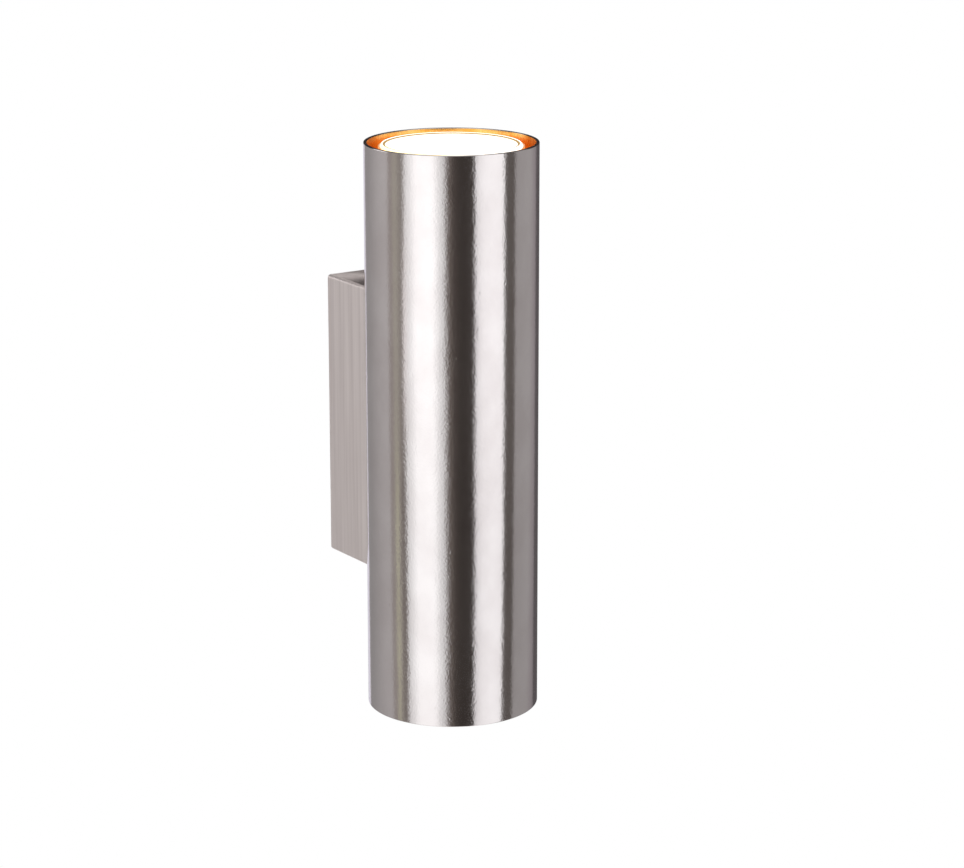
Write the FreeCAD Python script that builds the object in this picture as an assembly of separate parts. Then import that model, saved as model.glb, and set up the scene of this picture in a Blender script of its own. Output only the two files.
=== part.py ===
import FreeCAD, Part
import math
import os

# Up-and-down wall light: a round tube stands in front of a slim folded wall box, with a
# twist-lock reflector lamp just inside each mouth of the tube.
# Millimetres. The wall is the plane y = 0 and the light stands out of it towards -Y. +Z is up.
# The origin is the centre of the wall bracket's back face.

Vec = FreeCAD.Vector

# Shade tube
tube_radius = 30.0
tube_wall = 1.2
tube_length = 200.0
rim_round = 0.3  # rounding of the tube's four rim edges
shade_rise = 5.0  # tube's centre above the box's centre
seat_gap = 0.1  # between the round tube and the flat box front

# Wall box cover
box_width = 32.0
box_height = 102.0
box_depth = 27.0  # wall to box front
box_sheet = 1.0
box_corner = 1.2  # outer bend radius
wall_gap = 0.3  # cover's back edge to the wall

# Wall bracket
bracket_sheet = 1.5
bracket_width = 26.0
bracket_clearance = 0.2  # bracket's flanges to the cover
flange_width = 16.0
flange_length = 12.0
bracket_bend = 1.0  # inner bend radius
wall_slot_spacing = 80.0
wall_slot_length = 10.0
wall_slot_width = 4.5
cable_hole_radius = 6.5
cable_hole_drop = 18.0  # cable hole below the earth screw

# Cable grommet
grommet_bore_radius = 4.5
grommet_flange_radius = 8.0
grommet_flange_thickness = 1.5
grommet_wall_gap = 0.2  # grommet's end to the wall

# Clearances
fit_clearance = 0.1  # between fixed pieces that slide together
thread_clearance = 0.05  # between a screw's shank and its tapped hole, both drawn smooth
screw_hole_clearance = 0.2  # between a screw's shank and a plain hole
turn_clearance = 0.3  # between a lamp and the fixed pieces beside it

# Screws
cover_screw_radius = 1.5
cover_screw_head_radius = 2.75
cover_screw_head_height = 1.8
cover_screw_setback = 7.0  # wall to the cover screws
shade_screw_radius = 2.0
shade_screw_head_radius = 3.8
shade_screw_head_height = 2.6
shade_screw_spacing = 30.0
holder_screw_radius = 1.5
holder_screw_head_radius = 2.75
holder_screw_head_height = 2.0
block_screw_radius = 1.25
block_screw_head_radius = 2.2
block_screw_head_height = 1.5
earth_screw_radius = 2.0
earth_screw_head_radius = 3.6
earth_screw_head_height = 2.4
screw_end = 1.5  # how far a screw's end stands out of its thread
recess_width = 0.9  # arms of the cross recess
recess_depth_share = 0.6  # of the head's height
recess_reach_share = 0.6  # of the head's radius

# Nuts and washers on the shade screws
nut_flats = 7.0
nut_thickness = 3.2
washer_radius = 4.5
washer_thickness = 0.8

# Wire bushing through box, tube and carrier
bushing_bore_radius = 3.5
bushing_barrel_radius = 4.7
bushing_flange_radius = 6.2
bushing_flange_thickness = 1.0
bushing_lip_radius = 5.4
bushing_lip_length = 1.0

# Lamp carrier
carrier_sheet = 1.5
carrier_bend = 1.5  # inner bend radius
leg_width = 16.0
seat_disc_radius = 17.0
lead_hole_radius = 7.2

# Reflector lamp, 50 mm across, with two stud pins 10 mm apart
lamp_recess = 1.5  # lamp's face below the tube's rim
lamp_length = 46.5  # face to base
lamp_radius = 25.0
lamp_rim_height = 3.2
lamp_rim_width = 1.4
bowl_bulge = 4.0  # how far the bowl's outline swells out of a straight cone
neck_radius = 9.0
neck_bore_radius = 7.2
neck_depth = 8.5  # length of the neck in the base
lens_thickness = 2.0
lens_recess = 0.3  # lens below the reflector's rim
lens_crown = 0.25  # rise of the lens's middle above its edge
base_radius = 12.0
base_height = 17.0
base_chamfer = 1.0
pin_spacing = 10.0
pin_neck_radius = 1.6
pin_neck_length = 2.7
pin_head_radius = 2.5
pin_head_length = 3.6
pin_chamfer = 0.5
pin_root = 5.0  # length of the pin held in the base

# Burner capsule and filament inside the reflector
capsule_radius = 4.5
capsule_wall = 0.9
capsule_length = 22.5  # pinch to tip
pinch_width = 8.0
pinch_thickness = 3.0
pinch_height = 10.0
pinch_seat = 4.0  # depth of the pinch's seat in the base
filament_wire_radius = 0.25
filament_leg_spacing = 3.2
filament_leg_seat = 1.0  # legs end this far above the pinch's foot
filament_height = 13.0  # coil above the pinch
filament_coil_radius = 0.9

# Lampholder: a ceramic shell with the keyholes, on a ceramic base with the contacts
holder_height = 13.0
holder_radius = 15.5
holder_half_width = 10.5  # axis to each flat side
holder_lip = 2.0  # ceramic over the pin heads
holder_turn = 45.0  # twist from locked to released, degrees
holder_chamfer = 0.8
holder_screw_spacing = 21.0
holder_screw_well = 2.6
holder_screw_well_clearance = 0.35
slot_clearance = 0.3  # pin neck to the narrow slot
head_clearance = 0.4  # pin head to its pocket
contact_thickness = 0.6
contact_half_width = 1.6
contact_tail_radius = 1.5
contact_tail_length = 3.0  # below the carrier's flange

# Terminal block
pole_pitch = 9.0
pole_count = 3
block_width = 24.4
block_depth = 13.0
block_height = 16.0
block_top_z = -14.0
block_bore_height = 5.0  # bore's centre above the bracket
block_groove_width = 1.6
block_groove_depth = 2.0
clamp_radius = 2.5
clamp_bore_radius = 1.9
clamp_length = 14.0
terminal_screw_spacing = 9.0
terminal_screw_radius = 1.15
terminal_head_radius = 1.7
terminal_head_height = 2.0

# Crimped ferrules on the leads' ends
ferrule_radius = 1.5
ferrule_length = 7.0  # in the clamp
ferrule_collar_width = 5.2
ferrule_collar_depth = 3.2
ferrule_collar_height = 4.0

# Leads
lead_radius = 1.0
lead_grip = 3.0  # length of lead inside a crimp
lead_pair_spacing = 2.2  # between two leads in one ferrule
lead_bundle_spacing = 2.4  # between leads in the bushing
lead_run_in = 3.0  # nearly straight run outside a crimp or the bushing
lead_run_out = 2.0  # the same on the bushing's side in the box
lead_swing = 3.0  # sideways drift before a lead turns
earth_side_gap = 2.0  # earth lead beside the grommet's flange
earth_front_gap = 0.5  # earth lead in front of the grommet's flange
earth_run_in = 2.5  # below the ring terminal's crimp
bend_share = 0.45  # of the shorter run that each bend takes up

# Earth screw and its ring terminal
earth_x = 6.0
earth_setback = 17.8  # earth screw below the bracket's upper end
ring_radius = 4.0
ring_thickness = 0.8
crimp_radius = 1.6
crimp_length = 4.0
crimp_gap = 4.0  # earth screw's centre to the crimp

# Places that follow from the sizes
bore_radius = tube_radius - tube_wall
axis_y = -(box_depth + seat_gap + tube_radius)
cover_inner_y = box_sheet - box_depth
plate_y = -bracket_sheet
half_box = box_height / 2
flange_face_z = half_box - box_sheet - bracket_clearance
leg_back = math.sqrt(bore_radius**2 - (leg_width / 2) ** 2) - fit_clearance
leg_front = leg_back - carrier_sheet
leg_front_y = axis_y + leg_front

# Heights above the tube's centre, for the upper lamp and holder
face_z = tube_length / 2 - lamp_recess
base_z = face_z - lamp_length
base_top_z = base_z + base_height
neck_z = base_top_z - neck_depth
pinch_z = neck_z - fit_clearance - pinch_seat
pinch_top_z = pinch_z + pinch_height
head_top_z = base_z - pin_neck_length
head_z = head_top_z - pin_head_length
holder_top_z = base_z - turn_clearance
holder_z = holder_top_z - holder_height
contact_top_z = head_z - turn_clearance
pocket_z = contact_top_z - contact_thickness
carrier_z = holder_z - carrier_sheet
tail_z = carrier_z - contact_tail_length

pin_circle = pin_spacing / 2
locked_angle = 90.0 - holder_turn / 2
half_turn = 180.0
full_turn = 360.0

block_z = block_top_z - block_height / 2
block_bore_y = plate_y - block_bore_height
block_front_y = plate_y - block_depth
collar_z = block_top_z + fit_clearance
lead_end_z = collar_z + ferrule_collar_height - lead_grip
earth_z = flange_face_z - earth_setback
cable_hole_z = earth_z - cable_hole_drop
crimp_z = earth_z - crimp_gap
crimp_y = plate_y - crimp_radius
UP = Vec(0, 0, 1)


# Solids


def rod(radius, low, high, x=0.0, y=0.0):
    """A round rod that stands along Z from one height to another."""
    return Part.makeCylinder(radius, high - low, Vec(x, y, low))


def rod_y(radius, front, back, x=0.0, z=0.0):
    """A round rod that lies along Y from its front end (lower y) to its back end."""
    return Part.makeCylinder(radius, back - front, Vec(x, front, z), Vec(0, 1, 0))


def slab(x, y, z):
    """A box from three (low, high) pairs."""
    return Part.makeBox(x[1] - x[0], y[1] - y[0], z[1] - z[0], Vec(x[0], y[0], z[0]))


def centred(size, middle=0.0):
    """The (low, high) pair of a length about its middle."""
    return (middle - size / 2, middle + size / 2)


def joined(shapes):
    """One solid from touching or overlapping solids, without seams."""
    return shapes[0].fuse(shapes[1:]).removeSplitter()


def edges_where(shape, test):
    """The edges whose box passes a test."""
    return [edge for edge in shape.Edges if test(edge.BoundBox)]


def flat(point):
    """A (radius, height) pair as a point in the XZ plane."""
    return Vec(point[0], 0, point[1])


def bulged(start, end, bulge):
    """The (middle, end) pair of an arc that swells to the right of its chord by the bulge."""
    chord = flat(end) - flat(start)
    side = Vec(chord.z, 0, -chord.x).normalize()
    middle = (flat(start) + flat(end)) / 2 + side * bulge
    return ((middle.x, middle.z), end)


def turned(start, steps):
    """A solid turned about Z from a closed outline of (radius, height) points.

    Each step is a point reached by a straight line, or a (middle, end) pair reached by an arc.
    """
    edges = []
    here = flat(start)
    for step in steps:
        if isinstance(step[0], tuple):
            end = flat(step[1])
            edges.append(Part.Arc(here, flat(step[0]), end).toShape())
        else:
            end = flat(step)
            edges.append(Part.LineSegment(here, end).toShape())
        here = end
    edges.append(Part.LineSegment(here, flat(start)).toShape())
    return Part.Face(Part.Wire(edges)).revolve(Vec(0, 0, 0), UP, full_turn)


def bend_arc(before, corner, after, radius):
    """The tangent arc that rounds a corner between two straight runs: its start, middle and end."""
    inward = (before - corner).normalize()
    outward = (after - corner).normalize()
    half_angle = (inward.getAngle(outward)) / 2
    reach = radius / math.tan(half_angle)
    towards = (inward + outward).normalize()
    centre = corner + towards * (radius / math.sin(half_angle))
    return corner + inward * reach, centre - towards * radius, corner + outward * reach


def rounded_outline(corners):
    """A closed wire through (point, radius) corners, each rounded by a tangent arc."""
    edges = []
    joints = []
    count = len(corners)
    for index, (corner, radius) in enumerate(corners):
        if radius > 0:
            before = corners[index - 1][0]
            after = corners[(index + 1) % count][0]
            start, middle, end = bend_arc(before, corner, after, radius)
            edges.append(Part.Arc(start, middle, end).toShape())
            joints.append((start, end))
        else:
            joints.append((corner, corner))
    for index, (start, end) in enumerate(joints):
        next_start = joints[(index + 1) % count][0]
        edges.append(Part.LineSegment(end, next_start).toShape())
    return Part.Wire(Part.__sortEdges__(edges))


def bent_strap(sheet, width, face_y, end_y, half_height, inner_bend):
    """A strap bent into a C: a leg whose outer face is at face_y, and two flanges out to end_y."""
    inside_y = face_y - sheet
    inside_z = half_height - sheet
    outer_bend = inner_bend + sheet
    corners = [
        (end_y, half_height, 0),
        (face_y, half_height, outer_bend),
        (face_y, -half_height, outer_bend),
        (end_y, -half_height, 0),
        (end_y, -inside_z, 0),
        (inside_y, -inside_z, inner_bend),
        (inside_y, inside_z, inner_bend),
        (end_y, inside_z, 0),
    ]
    outline = rounded_outline([(Vec(-width / 2, y, z), radius) for y, z, radius in corners])
    return Part.Face(outline).extrude(Vec(width, 0, 0))


def hexagon(flats, thickness):
    """A hexagonal prism that stands on z = 0."""
    corner_radius = flats / math.sqrt(3)
    points = [Vec(corner_radius, 0, 0)]
    for _ in range(6):
        last = points[-1]
        points.append(FreeCAD.Rotation(UP, full_turn / 6).multVec(last))
    points[-1] = points[0]
    return Part.Face(Part.makePolygon(points)).extrude(Vec(0, 0, thickness))


def aimed(shape, position, direction):
    """A shape moved from the origin to a position, with its +Z turned to a direction."""
    placed = shape.copy()
    placed.Placement = FreeCAD.Placement(position, FreeCAD.Rotation(UP, direction))
    return placed


def screw(radius, head_radius, head_height, length):
    """A pan-head screw along Z: the head stands on z = 0 and the shank hangs below it."""
    head = rod(head_radius, 0, head_height)
    head = head.makeFillet(head_height / 2, edges_where(head, lambda box: box.ZMin > head_height / 2))
    body = joined([head, rod(radius, -length, 0)])
    reach = head_radius * recess_reach_share
    depth = (head_height * (1 - recess_depth_share), head_height)
    for along, across in ((reach * 2, recess_width), (recess_width, reach * 2)):
        body = body.cut(slab(centred(along), centred(across), depth))
    return body


def in_tube(shape, upper):
    """A piece made about the tube's centre, put in its place, or turned over for the lower lamp."""
    placed = shape.copy()
    if not upper:
        placed.rotate(Vec(0, 0, 0), Vec(0, 1, 0), half_turn)
    placed.translate(Vec(0, axis_y, shade_rise))
    return placed


def tube_point(x, y, z, upper):
    """A point given about the tube's centre, as in_tube would put it."""
    side = 1 if upper else -1
    return Vec(side * x, axis_y + y, shade_rise + side * z)


# Shade and wall box


def shade_screw_heights():
    """The heights of the two screws that clamp the tube to the box."""
    return [shade_rise + side * shade_screw_spacing / 2 for side in (1, -1)]


def shade_holes(front, back):
    """Rods for the holes of the shade screws and the wire bushing, from one y to another."""
    radius = shade_screw_radius + screw_hole_clearance
    holes = [rod_y(radius, front, back, z=height) for height in shade_screw_heights()]
    holes.append(rod_y(bushing_barrel_radius + fit_clearance, front, back, z=shade_rise))
    return holes


def tube_shade():
    """The round tube, open at both ends, with its fixing holes in the back."""
    half = tube_length / 2
    tube = rod(tube_radius, -half, half).cut(rod(bore_radius, -half, half))
    rims = edges_where(tube, lambda box: box.ZLength < rim_round and box.XLength > tube_radius)
    tube = in_tube(tube.makeFillet(rim_round, rims), True)
    return tube.cut(shade_holes(axis_y, 0))


def cover_screw_holes(radius):
    """Rods through the box's top and bottom at the cover screws."""
    reach = flange_face_z - bracket_sheet - screw_end
    return [
        rod(radius, reach, half_box, y=-cover_screw_setback),
        rod(radius, -half_box, -reach, y=-cover_screw_setback),
    ]


def wall_box_cover():
    """The folded box, open to the wall."""
    outside = slab(centred(box_width), (-box_depth, -wall_gap), centred(box_height))
    folds = edges_where(outside, lambda box: box.YMin < -wall_gap - box_sheet)
    outside = outside.makeFillet(box_corner, folds)
    inside_width = box_width - 2 * box_sheet
    inside_height = box_height - 2 * box_sheet
    inside = slab(centred(inside_width), (cover_inner_y, 0), centred(inside_height))
    cover = outside.cut(inside)
    cover = cover.cut(cover_screw_holes(cover_screw_radius + screw_hole_clearance))
    return cover.cut(shade_holes(-box_depth - box_sheet, cover_inner_y + box_sheet))


def wall_slot(height):
    """The cutter of one upright screw slot in the bracket."""
    radius = wall_slot_width / 2
    reach = wall_slot_length / 2 - radius
    ends = [rod_y(radius, plate_y, 0, z=height + side * reach) for side in (1, -1)]
    middle = slab(centred(wall_slot_width), (plate_y, 0), centred(2 * reach, height))
    return joined([middle] + ends)


def block_screw_places():
    """The x of each screw between two poles of the terminal block."""
    first = -pole_pitch * (pole_count - 2) / 2
    return [first + index * pole_pitch for index in range(pole_count - 1)]


def wall_bracket():
    """The strap on the wall, with its wall slots, cable hole, flanges and tapped holes."""
    strap = bent_strap(bracket_sheet, flange_width, 0, -flange_length, flange_face_z, bracket_bend)
    plate_height = 2 * (flange_face_z - 2 * (bracket_sheet + bracket_bend))
    plate = slab(centred(bracket_width), (plate_y, 0), centred(plate_height))
    bracket = joined([strap, plate])
    cutters = [wall_slot(side * wall_slot_spacing / 2) for side in (1, -1)]
    cutters.append(rod_y(cable_hole_radius, plate_y, 0, z=cable_hole_z))
    cutters.append(rod_y(earth_screw_radius + thread_clearance, plate_y, 0, earth_x, earth_z))
    for x in block_screw_places():
        cutters.append(rod_y(block_screw_radius + thread_clearance, plate_y, 0, x, block_z))
    cutters += cover_screw_holes(cover_screw_radius + thread_clearance)
    return bracket.cut(cutters)


def cover_screws():
    """The two screws that hold the cover to the bracket, above and below."""
    length = half_box - flange_face_z + bracket_sheet + screw_end
    piece = screw(cover_screw_radius, cover_screw_head_radius, cover_screw_head_height, length)
    upper = aimed(piece, Vec(0, -cover_screw_setback, half_box), UP)
    lower = aimed(piece, Vec(0, -cover_screw_setback, -half_box), -UP)
    return Part.makeCompound([upper, lower])


def cable_grommet():
    """The rubber edge ring in the bracket's cable hole."""
    barrel_radius = cable_hole_radius - fit_clearance
    barrel = rod_y(barrel_radius, plate_y, -grommet_wall_gap, z=cable_hole_z)
    flange_y = plate_y - grommet_flange_thickness
    flange = rod_y(grommet_flange_radius, flange_y, plate_y, z=cable_hole_z)
    bore = rod_y(grommet_bore_radius, flange_y, 0, z=cable_hole_z)
    return joined([barrel, flange]).cut(bore)


# Clamping of tube, carrier and box


def shade_screws():
    """The two screws from inside the tube, through carrier, tube and box front."""
    length = cover_inner_y - leg_front_y + washer_thickness + nut_thickness + screw_end
    piece = screw(shade_screw_radius, shade_screw_head_radius, shade_screw_head_height, length)
    into_tube = Vec(0, -1, 0)
    places = [Vec(0, leg_front_y, height) for height in shade_screw_heights()]
    return Part.makeCompound([aimed(piece, place, into_tube) for place in places])


def shade_washers():
    """The washers between the nuts and the box front."""
    ring = rod(washer_radius, 0, washer_thickness)
    ring = ring.cut(rod(shade_screw_radius + screw_hole_clearance, 0, washer_thickness))
    places = [Vec(0, cover_inner_y, height) for height in shade_screw_heights()]
    return Part.makeCompound([aimed(ring, place, Vec(0, 1, 0)) for place in places])


def shade_nuts():
    """The nuts inside the box."""
    nut = hexagon(nut_flats, nut_thickness)
    nut = nut.cut(rod(shade_screw_radius + thread_clearance, 0, nut_thickness))
    nut_y = cover_inner_y + washer_thickness
    places = [Vec(0, nut_y, height) for height in shade_screw_heights()]
    return Part.makeCompound([aimed(nut, place, Vec(0, 1, 0)) for place in places])


def wire_bushing():
    """The nylon bush that the leads pass through, from the box into the tube."""
    flange_end = cover_inner_y + bushing_flange_thickness
    lip_end = leg_front_y - fit_clearance
    lip_start = lip_end - bushing_lip_length
    flange = rod_y(bushing_flange_radius, cover_inner_y, flange_end, z=shade_rise)
    barrel = rod_y(bushing_barrel_radius, lip_start, cover_inner_y, z=shade_rise)
    lip = rod_y(bushing_lip_radius, lip_start, lip_end, z=shade_rise)
    bore = rod_y(bushing_bore_radius, lip_start, flange_end, z=shade_rise)
    return joined([flange, barrel, lip]).cut(bore)


def lamp_carrier():
    """The strap inside the tube, with a round seat at each end for a lampholder."""
    strap = bent_strap(carrier_sheet, leg_width, leg_back, 0, holder_z, carrier_bend)
    seats = [rod(seat_disc_radius, carrier_z, holder_z), rod(seat_disc_radius, -holder_z, -carrier_z)]
    carrier = joined([strap] + seats)
    cutters = [rod(lead_hole_radius, -holder_z, holder_z)]
    for side in (1, -1):
        x = side * holder_screw_spacing / 2
        cutters.append(rod(holder_screw_radius + thread_clearance, -holder_z, holder_z, x))
    carrier = in_tube(carrier.cut(cutters), True)
    return carrier.cut(shade_holes(leg_front_y, leg_front_y + carrier_sheet))


# Lampholder


def on_pin_circle(angle):
    """A point on the circle of the lamp's two pins."""
    return (pin_circle * math.cos(math.radians(angle)), pin_circle * math.sin(math.radians(angle)))


def arc_slot(half_width, angle, low, high):
    """A slot along the pin circle, from locked to released, round at both ends."""
    sector = Part.makeCylinder(pin_circle + half_width, high - low, Vec(0, 0, low), UP, holder_turn)
    sector.rotate(Vec(0, 0, 0), UP, angle)
    band = sector.cut(rod(pin_circle - half_width, low, high))
    ends = []
    for end_angle in (angle, angle + holder_turn):
        x, y = on_pin_circle(end_angle)
        ends.append(rod(half_width, low, high, x, y))
    return joined([band] + ends)


def pin_angles():
    """The angles of the two pins when the lamp is locked."""
    return (locked_angle, locked_angle + half_turn)


def holder_outline(low, high):
    """A slice of the lampholder's outside: round, with two flat sides."""
    return rod(holder_radius, low, high).common(
        slab(centred(2 * holder_radius), centred(2 * holder_half_width), (low, high))
    )


def pin_chambers(top):
    """The two straight-walled chambers in which the pins' heads swing, one behind each keyhole."""
    head_space = pin_head_radius + head_clearance
    swing = math.radians(holder_turn / 2)
    width = centred(2 * (pin_circle * math.sin(swing) + head_space))
    near = pin_circle * math.cos(swing) - head_space
    far = pin_circle + head_space
    return [slab(width, depth, (pocket_z, top)) for depth in ((near, far), (-far, -near))]


def holder_screw_holes(radius, low, high):
    """Rods for the lampholder's two screws, from one height to another."""
    return [rod(radius, low, high, side * holder_screw_spacing / 2) for side in (1, -1)]


def lampholder(upper):
    """The ceramic shell of a twist-lock holder: two curved keyholes over two chambers."""
    body = holder_outline(pocket_z, holder_top_z)
    body = body.makeChamfer(holder_chamfer, edges_where(body, lambda box: box.ZMin > pocket_z))
    pocket_top = holder_top_z - holder_lip
    cutters = pin_chambers(pocket_top)
    for angle in pin_angles():
        x, y = on_pin_circle(angle + holder_turn)
        cutters.append(arc_slot(pin_neck_radius + slot_clearance, angle, pocket_top, holder_top_z))
        cutters.append(rod(pin_head_radius + head_clearance, pocket_top, holder_top_z, x, y))
    well = holder_screw_head_radius + holder_screw_well_clearance
    shank = holder_screw_radius + screw_hole_clearance
    cutters += holder_screw_holes(shank, pocket_z, holder_top_z)
    cutters += holder_screw_holes(well, holder_top_z - holder_screw_well, holder_top_z)
    return in_tube(body.cut(cutters), upper)


def holder_base(upper):
    """The ceramic base under the shell, with holes for the contacts' tails and the screws."""
    cutters = holder_screw_holes(holder_screw_radius + screw_hole_clearance, holder_z, pocket_z)
    for angle in pin_angles():
        x, y = on_pin_circle(angle)
        cutters.append(rod(contact_tail_radius + fit_clearance, holder_z, pocket_z, x, y))
    return in_tube(holder_outline(holder_z, pocket_z).cut(cutters), upper)


def holder_contacts(upper):
    """The two brass contacts under the pins, each with a crimp for its lead."""
    pieces = []
    for angle in pin_angles():
        x, y = on_pin_circle(angle)
        plate = arc_slot(contact_half_width, angle, pocket_z, contact_top_z)
        tail = rod(contact_tail_radius, tail_z, pocket_z, x, y)
        bore = rod(lead_radius + thread_clearance, tail_z, tail_z + lead_grip + fit_clearance, x, y)
        pieces.append(in_tube(joined([plate, tail]).cut(bore), upper))
    return Part.makeCompound(pieces)


def holder_screws(upper):
    """The two screws that fix a lampholder to the carrier."""
    seat_z = holder_top_z - holder_screw_well
    length = seat_z - carrier_z + screw_end
    piece = screw(holder_screw_radius, holder_screw_head_radius, holder_screw_head_height, length)
    pieces = []
    for side in (1, -1):
        placed = aimed(piece, Vec(side * holder_screw_spacing / 2, 0, seat_z), UP)
        pieces.append(in_tube(placed, upper))
    return Part.makeCompound(pieces)


# Lamp


def lamp_reflector(upper):
    """The glass reflector: a neck, a swelling bowl and a rim with a seat for the lens."""
    seat_z = face_z - lens_recess - lens_thickness
    rim_z = face_z - lamp_rim_height
    rim_bore = lamp_radius - lamp_rim_width
    ledge = rim_bore - lens_recess - lamp_rim_width / 2
    neck_top = base_top_z + fit_clearance
    outer_start = (neck_radius, neck_top)
    inner_start = (ledge, seat_z)
    body = turned(
        (neck_bore_radius, neck_z),
        [
            (neck_radius, neck_z),
            outer_start,
            bulged(outer_start, (lamp_radius, rim_z), bowl_bulge),
            (lamp_radius, face_z),
            (rim_bore, face_z),
            (rim_bore, seat_z),
            inner_start,
            bulged(inner_start, (neck_bore_radius, neck_top), -bowl_bulge),
        ],
    )
    return in_tube(body, upper)


def lamp_lens(upper):
    """The front glass, slightly crowned, in the reflector's rim."""
    edge = lamp_radius - lamp_rim_width - fit_clearance
    low = face_z - lens_recess - lens_thickness
    high = face_z - lens_recess
    crown_radius = (edge**2 + lens_crown**2) / (2 * lens_crown)
    halfway = edge / 2
    drop = crown_radius - math.sqrt(crown_radius**2 - halfway**2)
    crown = ((halfway, high - drop), (0, high))
    body = turned((0, low), [(edge, low), (edge, high - lens_crown), crown])
    return in_tube(body, upper)


def lamp_base(upper):
    """The ceramic base, with seats for the neck, the capsule's pinch and the two pins."""
    body = turned(
        (0, base_z),
        [
            (base_radius - base_chamfer, base_z),
            (base_radius, base_z + base_chamfer),
            (base_radius, base_top_z - base_chamfer),
            (base_radius - base_chamfer, base_top_z),
            (0, base_top_z),
        ],
    )
    floor_z = neck_z - fit_clearance
    cutters = [rod(neck_radius + fit_clearance, floor_z, base_top_z)]
    seat_width = centred(pinch_width + 2 * fit_clearance)
    seat_thickness = centred(pinch_thickness + 2 * fit_clearance)
    cutters.append(slab(seat_width, seat_thickness, (pinch_z, base_top_z)))
    for angle in pin_angles():
        x, y = on_pin_circle(angle)
        cutters.append(rod(pin_neck_radius + thread_clearance, base_z, base_z + pin_root, x, y))
    return in_tube(body.cut(cutters), upper)


def lamp_pins(upper):
    """The two stud pins: a neck in the base and a wider head below it."""
    pieces = []
    for angle in pin_angles():
        x, y = on_pin_circle(angle)
        head = rod(pin_head_radius, head_z, head_top_z, x, y)
        head = head.makeChamfer(pin_chamfer, edges_where(head, lambda box: box.ZLength < pin_chamfer))
        neck = rod(pin_neck_radius, head_top_z, base_z + pin_root, x, y)
        pieces.append(in_tube(joined([head, neck]), upper))
    return Part.makeCompound(pieces)


def capsule_outline(radius, low, tip):
    """A round-ended capsule's half outline, turned about Z."""
    shoulder = tip - radius
    bend = math.sin(math.pi / 4)
    dome = (radius * bend, shoulder + radius * bend)
    return turned((0, low), [(radius, low), (radius, shoulder), (dome, (0, tip))])


def lamp_capsule(upper):
    """The quartz burner: a hollow bulb on a flat pinch that stands in the base."""
    tip = pinch_top_z + capsule_length
    bulb = capsule_outline(capsule_radius, pinch_top_z, tip)
    hollow_radius = capsule_radius - capsule_wall
    hollow = capsule_outline(hollow_radius, pinch_top_z + capsule_wall, tip - capsule_wall)
    pinch = slab(centred(pinch_width), centred(pinch_thickness), (pinch_z, pinch_top_z))
    body = joined([bulb, pinch]).cut(hollow)
    low = pinch_z + filament_leg_seat
    for side in (1, -1):
        x = side * filament_leg_spacing / 2
        leg_bore = rod(filament_wire_radius + thread_clearance, low, pinch_top_z + capsule_wall, x)
        body = body.cut(leg_bore)
    return in_tube(body, upper)


def lamp_filament(upper):
    """The filament: two legs out of the pinch and a coil across their tops."""
    low = pinch_z + filament_leg_seat
    high = pinch_top_z + filament_height
    half = filament_leg_spacing / 2
    legs = [rod(filament_wire_radius, low, high, side * half) for side in (1, -1)]
    along = Vec(1, 0, 0)
    start = Vec(-half, 0, high)
    coil = Part.makeCylinder(filament_coil_radius, filament_leg_spacing, start, along)
    return in_tube(joined(legs + [coil]), upper)


# Terminal block


def pole_places():
    """The x of each pole of the terminal block."""
    first = -pole_pitch * (pole_count - 1) / 2
    return [first + index * pole_pitch for index in range(pole_count)]


def terminal_screw_places():
    """The (x, z) of each terminal screw."""
    rows = [block_z + side * terminal_screw_spacing / 2 for side in (1, -1)]
    return [(x, z) for x in pole_places() for z in rows]


def terminal_block():
    """The insulating block: a bore per pole, a well per screw and grooves between poles."""
    height = (block_top_z - block_height, block_top_z)
    body = slab(centred(block_width), (block_front_y, plate_y), height)
    cutters = []
    for x in pole_places():
        cutters.append(rod(clamp_radius + fit_clearance, height[0], height[1], x, block_bore_y))
    for x, z in terminal_screw_places():
        well = terminal_head_radius + screw_hole_clearance
        cutters.append(rod_y(well, block_front_y, block_bore_y, x, z))
    for x in block_screw_places():
        shank = block_screw_radius + screw_hole_clearance
        cutters.append(rod_y(shank, block_front_y, plate_y, x, block_z))
        width = centred(block_groove_width, x)
        top = (block_top_z - block_groove_depth, block_top_z)
        bottom = (height[0], height[0] + block_groove_depth)
        for groove in (top, bottom):
            cutters.append(slab(width, (block_front_y, plate_y), groove))
    return body.cut(cutters)


def terminal_clamps():
    """The brass tubes that grip the wires, one in each pole."""
    low, high = centred(clamp_length, block_z)
    pieces = []
    for x in pole_places():
        tube = rod(clamp_radius, low, high, x, block_bore_y)
        tube = tube.cut(rod(clamp_bore_radius, low, high, x, block_bore_y))
        for screw_x, z in terminal_screw_places():
            if screw_x == x:
                radius = terminal_screw_radius + thread_clearance
                tube = tube.cut(rod_y(radius, block_front_y, block_bore_y, x, z))
        pieces.append(tube)
    return Part.makeCompound(pieces)


def terminal_screws():
    """The slotted screws that press on the wires, two in each pole."""
    tip_y = block_bore_y - ferrule_radius - fit_clearance
    seat_y = block_bore_y - clamp_radius - fit_clearance
    top_y = seat_y - terminal_head_height
    pieces = []
    for x, z in terminal_screw_places():
        shank = rod_y(terminal_screw_radius, seat_y, tip_y, x, z)
        head = rod_y(terminal_head_radius, top_y, seat_y, x, z)
        slot_depth = (top_y, top_y + terminal_head_height / 2)
        slot = slab(centred(2 * terminal_head_radius, x), slot_depth, centred(recess_width, z))
        pieces.append(joined([head, shank]).cut(slot))
    return Part.makeCompound(pieces)


def block_screws():
    """The screws between the poles that fix the block to the bracket."""
    length = block_depth + bracket_sheet - fit_clearance
    piece = screw(block_screw_radius, block_screw_head_radius, block_screw_head_height, length)
    places = [Vec(x, block_front_y, block_z) for x in block_screw_places()]
    return Part.makeCompound([aimed(piece, place, Vec(0, -1, 0)) for place in places])


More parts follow.
